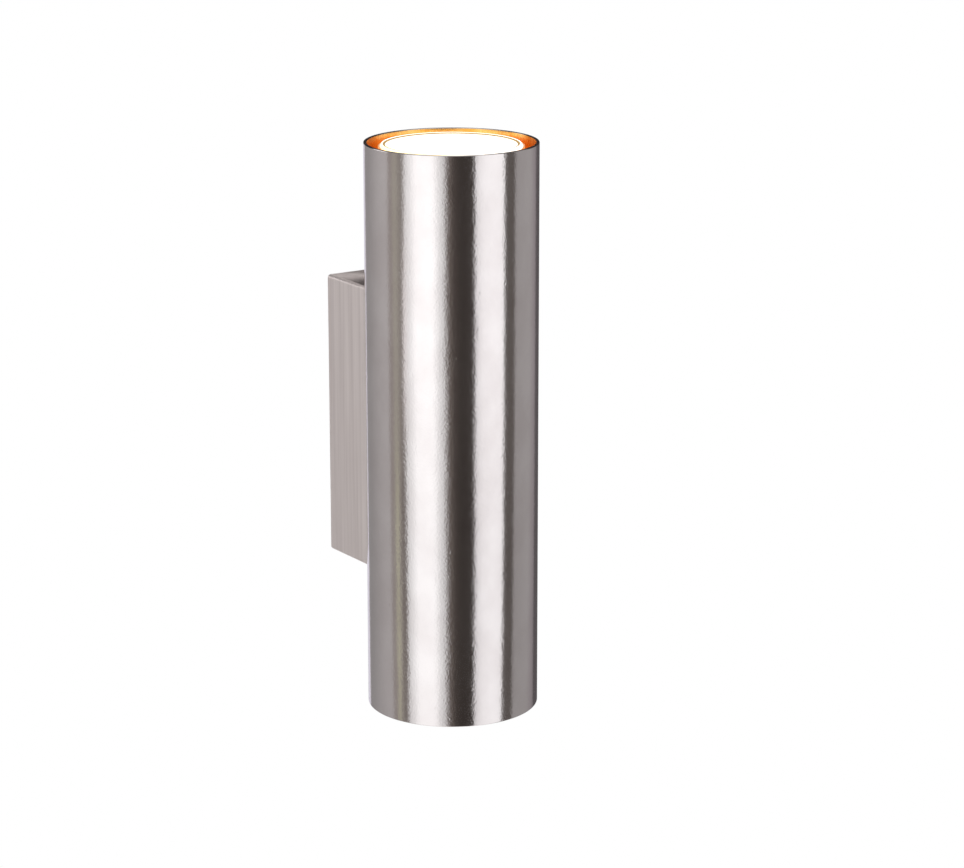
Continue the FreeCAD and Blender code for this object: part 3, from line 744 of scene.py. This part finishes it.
def spun(bm: BMesh, geom: list, centre: Vector, steps: int, merge: float) -> None:
    """Spins an outline a full turn about an upright axis.

    Args:
        bm: the mesh to fill.
        geom: the outline's corners and edges.
        centre: a point on the axis.
        steps: segments in the full turn.
        merge: corners closer than this become one, in metres.
    """
    bmesh.ops.spin(
        bm, geom=geom, cent=centre, axis=(0, 0, 1), angle=math.tau, steps=steps, use_merge=True
    )
    bmesh.ops.remove_doubles(bm, verts=bm.verts, dist=merge)
    bmesh.ops.recalc_face_normals(bm, faces=bm.faces)


def spun_ring(
    bm: BMesh, corners: Corners, centre: Vector, steps: int, rounding: float, rounding_steps: int
) -> None:
    """Spins a closed outline of (radius, height) corners, each of them rounded.

    Args:
        bm: the mesh to fill.
        corners: the outline's corners, in metres.
        centre: a point on the axis at height 0 of the outline.
        steps: segments in the full turn.
        rounding: how far each corner is rounded, in metres.
        rounding_steps: segments in each rounding.
    """
    verts = [bm.verts.new(centre + Vector((radius, 0, height))) for radius, height in corners]
    bm.faces.new(verts)
    rounded(bm, verts, rounding, rounding_steps, "VERTICES")
    outline = next(iter(bm.faces))
    geom = list(outline.verts) + list(outline.edges)
    bmesh.ops.delete(bm, geom=[outline], context="FACES_ONLY")
    spun(bm, geom, centre, steps, 1e-7)


def rod_cutter(radius: float, start: Vector, end: Vector) -> bpy.types.Object:
    """Makes a round cutter between two points.

    Args:
        radius: the rod's radius.
        start: one end's centre.
        end: the other end's centre.

    Returns:
        The cutter's object.
    """
    along = end - start
    bm = bmesh.new()
    bmesh.ops.create_cone(
        bm, cap_ends=True, segments=CUTTER_SIDES, radius1=radius, radius2=radius, depth=along.length
    )
    turn = Vector((0, 0, 1)).rotation_difference(along).to_matrix().to_4x4()
    bmesh.ops.transform(bm, matrix=Matrix.Translation((start + end) / 2) @ turn, verts=bm.verts)
    return meshed("cutter", bm)


def drilled(piece: bpy.types.Object, cutters: Iterable[bpy.types.Object]) -> None:
    """Cuts holes through a piece and applies them to its mesh.

    Args:
        piece: the piece to drill.
        cutters: the rods to cut away, which are removed afterwards.
    """
    for cutter in cutters:
        hole = piece.modifiers.new("hole", "BOOLEAN")
        hole.operation = "DIFFERENCE"
        hole.solver = "EXACT"
        hole.object = cutter
        bpy.context.view_layer.update()
        cut = bpy.data.meshes.new_from_object(
            piece.evaluated_get(bpy.context.evaluated_depsgraph_get())
        )
        piece.modifiers.remove(hole)
        old, piece.data = piece.data, cut
        bpy.data.meshes.remove(old)
        bpy.data.meshes.remove(cutter.data)


def finished_piece(
    name: str,
    shape: Callable[[BMesh], None],
    finishes: Iterable[Finish],
    cutters: Iterable[bpy.types.Object] = (),
) -> bpy.types.Object:
    """Makes a piece from a shaping function, with its finishes in order.

    Args:
        name: the piece's name.
        shape: a function that fills a bmesh.
        finishes: one finish per material number.
        cutters: rods to drill out of it.

    Returns:
        The piece's object, at the origin.
    """
    bm = bmesh.new()
    shape(bm)
    piece = meshed(name, bm)
    for finish in finishes:
        piece.data.materials.append(finish.material())
    drilled(piece, cutters)
    bm = bmesh.new()
    bm.from_mesh(piece.data)
    smoothed(bm)
    bm.to_mesh(piece.data)
    bm.free()
    piece.data.name = name
    return piece


def dress(finishes: Mapping[str, Finish]) -> None:
    """Gives carried-over nodes their finishes.

    Args:
        finishes: the finish of each node, by the node's name.
    """
    for node, finish in finishes.items():
        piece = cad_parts[node]
        if not piece.material_slots:
            piece.data.materials.append(finish.material())
        for material_slot in piece.material_slots:
            material_slot.material = finish.material()
        log.info("%s dressed in %s", node, finish.name)


# Sub-assemblies


@dataclass
class ShadeTube:
    """The round tube, open at both ends."""

    radius: float = 0.02997
    wall: float = 0.00117
    length: float = 0.200
    rim_round: float = 0.0003
    rim_steps: int = 4
    centre: Vector = field(default_factory=lambda: Vector((0, AXIS_Y, TUBE_MIDDLE)))
    screw_hole: float = 0.0022
    bushing_hole: float = 0.0048
    screw_spacing: float = 0.030
    steps: int = 288

    def shape(self, bm: BMesh) -> None:
        """Spins the wall and marks the bore's faces.

        Args:
            bm: the mesh to fill.
        """
        half = self.length / 2
        inner = self.radius - self.wall
        corners = [(inner, -half), (self.radius, -half), (self.radius, half), (inner, half)]
        spun_ring(bm, corners, self.centre, self.steps, self.rim_round, self.rim_steps)
        for face in bm.faces:
            middle = face.calc_center_median() - self.centre
            reach = math.hypot(middle.x, middle.y)
            face.material_index = 1 if reach < inner + self.rim_round * 0.1 else 0

    def holes(self) -> list[bpy.types.Object]:
        """Gives the cutters of the holes in the tube's back.

        Returns:
            One cutter per hole.
        """
        cutters = []
        for rise, radius in (
            (self.screw_spacing / 2, self.screw_hole),
            (-self.screw_spacing / 2, self.screw_hole),
            (0.0, self.bushing_hole),
        ):
            start = self.centre + Vector((0, self.radius / 2, rise))
            cutters.append(rod_cutter(radius, start, start + Vector((0, self.radius, 0))))
        return cutters

    def build(self) -> None:
        """Makes the tube and sets it on the fixture."""
        piece = finished_piece("shade_tube", self.shape, (TUBE_NICKEL, BORE_NICKEL), self.holes())
        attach(piece, "fixture")
        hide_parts("tube_shade")
        log.info("shade_tube made")


@dataclass
class WallBox:
    """The slim folded box between the tube and the wall."""

    width: float = 0.032
    height: float = 0.102
    depth: float = 0.027
    sheet: float = 0.001
    bend: float = 0.0012
    bend_steps: int = 6
    wall_gap: float = 0.0003
    edge_round: float = 0.0008
    edge_steps: int = 4
    cover_screw_hole: float = 0.0017
    cover_screw_setback: float = 0.007
    screw_hole: float = 0.0022
    bushing_hole: float = 0.0048
    shade_screw_heights: tuple[float, float] = (0.020, -0.010)
    bushing_height: float = TUBE_MIDDLE

    def shape(self, bm: BMesh) -> None:
        """Folds the box: a shell open to the wall, with rounded bends and a softened back edge.

        Args:
            bm: the mesh to fill.
        """
        bmesh.ops.create_cube(bm, size=1.0)
        deep = self.depth - self.wall_gap
        size = Matrix.Diagonal((self.width, deep, self.height, 1))
        middle = Matrix.Translation((0, -(self.depth + self.wall_gap) / 2, 0))
        bmesh.ops.transform(bm, matrix=middle @ size, verts=bm.verts)
        rear = -self.wall_gap - NEAR
        back = [face for face in bm.faces if face.calc_center_median().y > rear]
        bmesh.ops.delete(bm, geom=back, context="FACES_ONLY")
        folds = [edge for edge in bm.edges if len(edge.link_faces) == 2]
        rounded(bm, folds, self.bend, self.bend_steps)
        bmesh.ops.recalc_face_normals(bm, faces=bm.faces)
        front = min(bm.faces, key=lambda face: face.calc_center_median().y)
        if front.normal.y > 0:
            bmesh.ops.reverse_faces(bm, faces=bm.faces)
        bmesh.ops.solidify(bm, geom=bm.faces, thickness=self.sheet)
        outline = [
            edge
            for edge in bm.edges
            if all(vert.co.y > rear for vert in edge.verts)
            and any(len(face.verts) == 4 and abs(face.normal.y) < 0.5 for face in edge.link_faces)
            and self.outside(edge)
        ]
        rounded(bm, outline, self.edge_round, self.edge_steps)

    def outside(self, edge: bmesh.types.BMEdge) -> bool:
        """Tells whether an edge runs round the outside of the box's back.

        Args:
            edge: the edge to place.

        Returns:
            True if it lies on the outer outline.
        """
        margin = self.sheet / 2
        middle = (edge.verts[0].co + edge.verts[1].co) / 2
        beside = abs(middle.x) > self.width / 2 - margin
        return beside or abs(middle.z) > self.height / 2 - margin

    def holes(self) -> list[bpy.types.Object]:
        """Gives the cutters of the screw and bushing holes.

        Returns:
            One cutter per hole.
        """
        reach = self.sheet * 2
        cutters = []
        for side in (1, -1):
            start = Vector((0, -self.cover_screw_setback, side * (self.height / 2 - reach)))
            end = start + Vector((0, 0, side * 2 * reach))
            cutters.append(rod_cutter(self.cover_screw_hole, start, end))
        places = [(height, self.screw_hole) for height in self.shade_screw_heights]
        for height, radius in places + [(self.bushing_height, self.bushing_hole)]:
            start = Vector((0, -self.depth - reach, height))
            cutters.append(rod_cutter(radius, start, start + Vector((0, 2 * reach, 0))))
        return cutters

    def build(self) -> None:
        """Makes the box and sets it on the fixture."""
        piece = finished_piece("wall_box", self.shape, (BOX_NICKEL,), self.holes())
        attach(piece, "fixture")
        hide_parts("wall_box_cover")
        log.info("wall_box made")


@dataclass
class WallFixing:
    """The bracket on the wall and all that clamps, wires and earths the light."""

    def build(self) -> None:
        """Dresses the bracket, the clamping parts, the terminals and the leads."""
        dress(
            {
                "wall_bracket": ZINC,
                "cover_screws": ZINC,
                "cable_grommet": RUBBER,
                "shade_screws": ZINC,
                "shade_washers": ZINC,
                "shade_nuts": ZINC,
                "wire_bushing": NYLON,
                "lamp_carrier": ZINC,
                "terminal_block": NYLON,
                "terminal_clamps": BRASS,
                "terminal_screws": ZINC,
                "block_screws": ZINC,
                "lead_ferrules": TINNED,
                "earth_screw": BRASS,
                "earth_ring_terminal": TINNED,
                "earth_lead": LEAD_EARTH,
                "upper_live_lead": LEAD_BROWN,
                "upper_neutral_lead": LEAD_BLUE,
                "lower_live_lead": LEAD_BROWN,
                "lower_neutral_lead": LEAD_BLUE,
            }
        )


class Place(Enum):
    """Which mouth of the tube a lamp sits in."""

    UPPER = "upper"
    LOWER = "lower"


@dataclass
class LampPosition:
    """One lamp and its holder."""

    place: Place
    centre: Vector = field(default_factory=lambda: Vector((0, AXIS_Y, TUBE_MIDDLE)))
    face_height: float = 0.0985
    lens_radius: float = 0.0232
    lens_rise: float = 0.0007
    lens_thickness: float = 0.0026
    lens_crown: float = 0.00025
    crown_rings: int = 6
    lip_inner: float = 0.0229
    lip_outer: float = 0.0244
    lip_lift: float = 0.00002
    lip_rise: float = 0.0009
    lip_slope: float = 0.0006
    lip_drop: float = 0.00005
    lip_round: float = 0.00012
    bead: float = 0.0009
    bead_rise: float = 0.00008
    bead_lap: float = 0.0001
    steps: int = 144

    def turned_over(self, bm: BMesh) -> None:
        """Turns a shape made for the upper lamp over for the lower one.

        Args:
            bm: the mesh to turn.
        """
        if self.place is Place.LOWER:
            over = Matrix.Rotation(math.pi, 4, "Y")
            there = Matrix.Translation(self.centre)
            bmesh.ops.transform(bm, matrix=there @ over @ there.inverted(), verts=bm.verts)

    def lens_shape(self, bm: BMesh) -> None:
        """Shapes the front glass: a disc whose face rises to a low crown.

        Args:
            bm: the mesh to fill.
        """
        high = self.face_height + self.lens_rise
        low = high - self.lens_thickness
        shoulder = high - self.lens_crown
        corners = [(0.0, low), (self.lens_radius, low)]
        for ring in range(self.crown_rings):
            share = 1 - ring / self.crown_rings
            corners.append((self.lens_radius * share, shoulder + self.lens_crown * (1 - share**2)))
        corners.append((0.0, high))
        verts = [bm.verts.new(self.centre + Vector((radius, 0, rise))) for radius, rise in corners]
        edges = [bm.edges.new(pair) for pair in zip(verts, verts[1:])]
        spun(bm, verts + edges, self.centre, self.steps, 1e-6)
        self.turned_over(bm)

    def lip_shape(self, bm: BMesh) -> None:
        """Shapes the glass lip that stands on the reflector's rim round the front glass.

        Args:
            bm: the mesh to fill.
        """
        low, high = self.face_height + self.lip_lift, self.face_height + self.lip_rise
        inner, crest = self.lip_inner + self.bead / 2, self.lip_outer - self.lip_slope
        corners = [(inner, low), (self.lip_outer, low), (crest, high)]
        corners.append((inner, high - self.lip_drop))
        spun_ring(bm, corners, self.centre, self.steps, self.lip_round, 3)
        self.turned_over(bm)

    def bead_shape(self, bm: BMesh) -> None:
        """Shapes the cement bead between the front glass and the lip.

        Args:
            bm: the mesh to fill.
        """
        seat = self.face_height + self.lens_rise - self.lens_crown * 1.5
        top = self.face_height + self.lens_rise + self.bead_rise
        inner = self.lip_inner - self.bead / 2
        outer = self.lip_inner + self.bead / 2 + self.bead_lap
        corners = [(inner, seat), (outer, seat), (outer, top), (inner + self.bead / 3, top)]
        spun_ring(bm, corners, self.centre, self.steps, self.bead * 0.1, 2)
        self.turned_over(bm)

    def build(self) -> None:
        """Makes the glass and its bead, and dresses the rest of the lamp and its holder."""
        name, body = self.place.value, f"{self.place.value}_lamp"
        glass = finished_piece(f"{name}_front_glass", self.lens_shape, (FRONT_GLASS,))
        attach(glass, body)
        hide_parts(f"{name}_lamp_lens")
        lip = finished_piece(f"{name}_glass_lip", self.lip_shape, (GLASS_LIP,))
        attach(lip, body)
        bead = finished_piece(f"{name}_cement_bead", self.bead_shape, (CEMENT,))
        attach(bead, body)
        dress(
            {
                f"{name}_lamp_reflector": MIRROR_BOWL,
                f"{name}_lamp_base": STEATITE,
                f"{name}_lamp_pins": PIN_NICKEL,
                f"{name}_lamp_capsule": QUARTZ,
                f"{name}_lamp_filament": TUNGSTEN,
                f"{name}_lampholder": STEATITE,
                f"{name}_holder_base": STEATITE,
                f"{name}_holder_contacts": BRASS,
                f"{name}_holder_screws": ZINC,
            }
        )
        log.info("%s lamp made", name)


# Studio


@dataclass(frozen=True)
class Panel:
    """A light or dark panel of the studio, between two azimuths seen from the light.

    The camera stands at azimuth 0, and azimuths grow to the right of the picture.
    """

    start: float
    end: float
    level: float
    end_level: float
    tint: str = "FFFCFC"


@dataclass(frozen=True)
class Patch:
    """A part of the studio between two azimuths and two heights, with soft edges."""

    azimuths: tuple[float, float]
    heights: tuple[float, float]
    level: float
    tint: str = "FFFCFC"


@dataclass(frozen=True)
class Studio:
    """White backdrop, soft light, pale floor and the panels that the metal mirrors."""

    camera_place: Vector = field(default_factory=lambda: Vector((-0.5659, -0.9232, 0.2744)))
    camera_turn: Triple = (75.26, 0.0, -33.735)
    camera_lens: float = 114.8
    brightest: float = 1.65
    matt_level: float = 0.92
    # the panels darken a little towards the floor, between these heights
    fade_heights: tuple[float, float] = (-0.34, -0.17)
    # the studio is plain grey above and below these heights
    plain_heights: tuple[float, float] = (0.76, 0.88)
    plain: Colour = (0.62, 0.61, 0.60, 1.0)
    side_blur: float = 0.003
    edge_blur: float = 0.03
    floor_height: float = -1.5
    floor_radius: float = 2.2
    lamp_place: Triple = (-0.9, -1.0, 1.2)
    lamp_size: float = 0.8
    lamp_watts: float = 3.0
    panels: tuple[Panel, ...] = (
        # grey side wall, lighter towards the camera
        Panel(-150, -93, 0.31, 0.48),
        # door frame and cupboard beside the key light
        Panel(-89, -85, 0.33, 0.33, "FFF5F0"),
        Panel(-82, -77, 0.39, 0.39, "FFFAEC"),
        Panel(-74, -69, 0.31, 0.25, "FFF7EE"),
        # key softbox with a wide soft edge on both sides
        Panel(-60, -46, 0.98, 1.36, "FCFEFF"),
        Panel(-26, -13, 1.38, 0.90, "FCFEFF"),
        # black flag in front of the camera
        Panel(-3.5, 5, 0.15, 0.064, "FFEEE4"),
        Panel(14, 29.2, 0.05, 0.055, "FFEFE6"),
        # fill softbox with a hard edge on both sides
        Panel(31.4, 44, 0.98, 1.18, "FCFDFF"),
        Panel(55, 71.5, 1.22, 1.20, "FCFDFF"),
        # gap, then the other grey wall
        Panel(73.5, 90, 0.12, 0.12, "FFF4ED"),
        Panel(92, 122, 0.37, 0.39),
        Panel(140, 148, 0.31, 0.11, "FFF5FA"),
        Panel(166, 178, 0.11, 0.2, "FFF5FA"),
    )
    patches: tuple[Patch, ...] = (
        # pale curtain behind the light's left side, below eye level
        Patch((-174, -156), (-0.60, -0.10), 0.85, "F6F2FF"),
        # the key softbox leans out at the top
        Patch((-67, -61), (-0.215, -0.10), 0.95),
        # the cupboard's lit lower door, with a dark gap beside it
        Patch((-81.5, -77), (-0.50, -0.275), 0.5, "FFFDE2"),
        Patch((-72, -64.5), (-0.50, -0.265), 0.2, "FFF2EA"),
        # a bright strip low on the left, just above eye level
        Patch((-122, -94), (0.02, 0.42), 1.65),
        # dark wall high behind the light, and a dark ceiling
        Patch((-184, -126), (0.0, 0.50), 0.04, "FFF2F0"),
        Patch((118, 184), (0.0, 0.50), 0.04, "FFF2F0"),
        Patch((-184, 184), (0.58, 0.74), 0.04, "FFF2EE"),
    )

    def camera(self) -> None:
        """Sets the camera up at the photograph's viewpoint."""
        data = bpy.data.cameras.new("view")
        data.sensor_width = 36.0
        data.sensor_fit = "HORIZONTAL"
        data.lens = self.camera_lens
        data.clip_end = 20.0
        camera = linked("view", data)
        camera.location = self.camera_place
        camera.rotation_euler = [math.radians(angle) for angle in self.camera_turn]
        bpy.context.scene.camera = camera

    def shade(self, level: float, tint: str) -> Colour:
        """Gives a panel's or patch's colour as a share of the brightest one.

        Args:
            level: how bright it is.
            tint: its hex colour.

        Returns:
            The linear colour.
        """
        red, green, blue, _ = linear(tint)
        share = level / self.brightest
        return (red * share, green * share, blue * share, 1.0)

    def bands(self, tree: Tree, along: Feed) -> Node:
        """Lays the panels out as a colour ramp, with a soft edge between neighbours.

        Args:
            tree: the world's node tree.
            along: the azimuth from 0 to 1.

        Returns:
            The ramp, whose first output is the colour.
        """
        made = add_node(tree, "ValToRGB", {0: along})
        made.color_ramp.interpolation = "EASE"
        stops = made.color_ramp.elements
        ends = [((p.start, p.level, p.tint), (p.end, p.end_level, p.tint)) for p in self.panels]
        for index, (azimuth, level, tint) in enumerate(end for pair in ends for end in pair):
            place = (azimuth + 180) / 360
            # a new ramp has two stops of its own
            stop = stops[index] if index < 2 else stops.new(place)
            stop.position = place
            stop.color = self.shade(level, tint)
        return made

    def mask(self, tree: Tree, along: Feed, height: Feed, patch: Patch) -> Feed:
        """Marks a soft-edged patch of the world.

        Args:
            tree: the world's node tree.
            along: the azimuth from 0 to 1.
            height: the direction's upward share.
            patch: the patch to mark.

        Returns:
            What is 1 inside the patch and 0 outside.
        """
        left, right = [(azimuth + 180) / 360 for azimuth in patch.azimuths]
        low, high = patch.heights
        inside: Feed = 1.0
        for value, border, blur, before, after in (
            (along, left, self.side_blur, 0.0, 1.0),
            (along, right, self.side_blur, 1.0, 0.0),
            (height, low, self.edge_blur, 0.0, 1.0),
            (height, high, self.edge_blur, 1.0, 0.0),
        ):
            side = between(tree, value, (border - blur, border + blur), before, after)
            inside = add_node(tree, "Math", {0: inside, 1: side}, operation="MINIMUM")
        return inside

    def mirrored(self, tree: Tree) -> Socket:
        """Builds what shiny surfaces see: the panels, the patches and the plain rest.

        Args:
            tree: the world's node tree.

        Returns:
            The colour's socket.
        """
        towards = self.camera_place - Vector((0, AXIS_Y, 0))
        turn = -math.atan2(towards.y, towards.x)
        sky = add_node(tree, "TexCoord").outputs["Generated"]
        feeds: Feeds = {"Vector": sky, "Axis": (0, 0, 1), "Angle": turn}
        facing = add_node(tree, "VectorRotate", feeds, rotation_type="AXIS_ANGLE")
        parts = add_node(tree, "SeparateXYZ", {0: facing}).outputs
        azimuth = add_node(tree, "Math", {0: parts["Y"], 1: parts["X"]}, operation="ARCTAN2")
        along = between(tree, azimuth, (-math.pi, math.pi), 0.0, 1.0)
        fade = between(tree, parts["Z"], self.fade_heights, 0.96, 1.04)
        feeds = {0: 1.0, 6: self.bands(tree, along), 7: fade}
        seen = add_node(tree, "Mix", feeds, data_type="RGBA", blend_type="MULTIPLY").outputs[2]
        for patch in self.patches:
            inside = self.mask(tree, along, parts["Z"], patch)
            seen = between(tree, inside, ALL, seen, self.shade(patch.level, patch.tint))
        height = add_node(tree, "Math", {0: parts["Z"]}, operation="ABSOLUTE")
        return between(tree, height, self.plain_heights, seen, self.plain)

    def for_the_eye(self, tree: Tree, bare: Node, lit: Node, output: str) -> None:
        """Shows plain white to the eye, straight or through glass, and something else to light.

        Args:
            tree: the node tree to end.
            bare: the shader for all other rays.
            lit: the white shader.
            output: the kind of output node.
        """
        rays = add_node(tree, "LightPath").outputs
        feeds: Feeds = {0: rays["Is Camera Ray"], 1: rays["Is Transmission Ray"]}
        eye = add_node(tree, "Math", feeds, operation="MAXIMUM")
        mixed = add_node(tree, "MixShader", {0: eye, 1: bare, 2: lit})
        add_node(tree, output, {"Surface": mixed})

    def world(self) -> None:
        """Makes the world: white to the eye, plain to matt surfaces, panels to shiny ones."""
        world = bpy.data.worlds.new("studio")
        bpy.context.scene.world = world
        world.use_nodes = True
        world.cycles.sampling_method = "NONE"
        tree = world.node_tree
        tree.nodes.clear()
        feeds: Feeds = {"Color": self.mirrored(tree), "Strength": self.brightest}
        panels = add_node(tree, "Background", feeds)
        plain = add_node(tree, "Background", {"Color": WHITE, "Strength": self.matt_level})
        white = add_node(tree, "Background", {"Color": WHITE, "Strength": 1.0})
        shiny = add_node(tree, "LightPath").outputs["Is Glossy Ray"]
        bare = add_node(tree, "MixShader", {0: shiny, 1: plain, 2: panels})
        self.for_the_eye(tree, bare, white, "OutputWorld")

    def floor(self) -> None:
        """Lays a pale round floor well below the light, which the metal doesn't mirror."""
        material = bpy.data.materials.new("pale_floor")
        material.use_nodes = True
        tree = material.node_tree
        tree.nodes.clear()
        matt = add_node(tree, "BsdfDiffuse", {"Color": linear("F2F2F0")})
        glow = add_node(tree, "Emission", {"Color": WHITE, "Strength": 1.0})
        self.for_the_eye(tree, matt, glow, "OutputMaterial")
        bm = bmesh.new()
        bmesh.ops.create_circle(bm, cap_ends=True, segments=64, radius=self.floor_radius)
        bmesh.ops.translate(bm, vec=(0, 0, self.floor_height), verts=bm.verts)
        floor = meshed("floor", bm)
        floor.data.materials.append(material)
        floor.visible_glossy = False

    def lamps(self) -> None:
        """Hangs one large soft lamp that only matt surfaces catch."""
        data = bpy.data.lights.new("soft_lamp", "AREA")
        data.shape = "SQUARE"
        data.size = self.lamp_size
        data.energy = self.lamp_watts
        lamp = linked("soft_lamp", data)
        lamp.location = self.lamp_place
        aim = Vector((0, AXIS_Y, 0)) - lamp.location
        lamp.rotation_euler = aim.to_track_quat("-Z", "Y").to_euler()
        lamp.visible_glossy = False

    def build(self) -> None:
        """Sets the whole studio up."""
        bpy.context.scene.view_settings.view_transform = "Standard"
        self.camera()
        self.world()
        self.floor()
        self.lamps()
        log.info("studio set up")


def main() -> None:
    """Builds the studio, then the light from its shade to its lamps."""
    logging.basicConfig(level=logging.INFO, format="%(name)s: %(message)s")
    Studio().build()
    ShadeTube().build()
    WallBox().build()
    WallFixing().build()
    for place in Place:
        LampPosition(place).build()


if __name__ == "__main__":
    main()
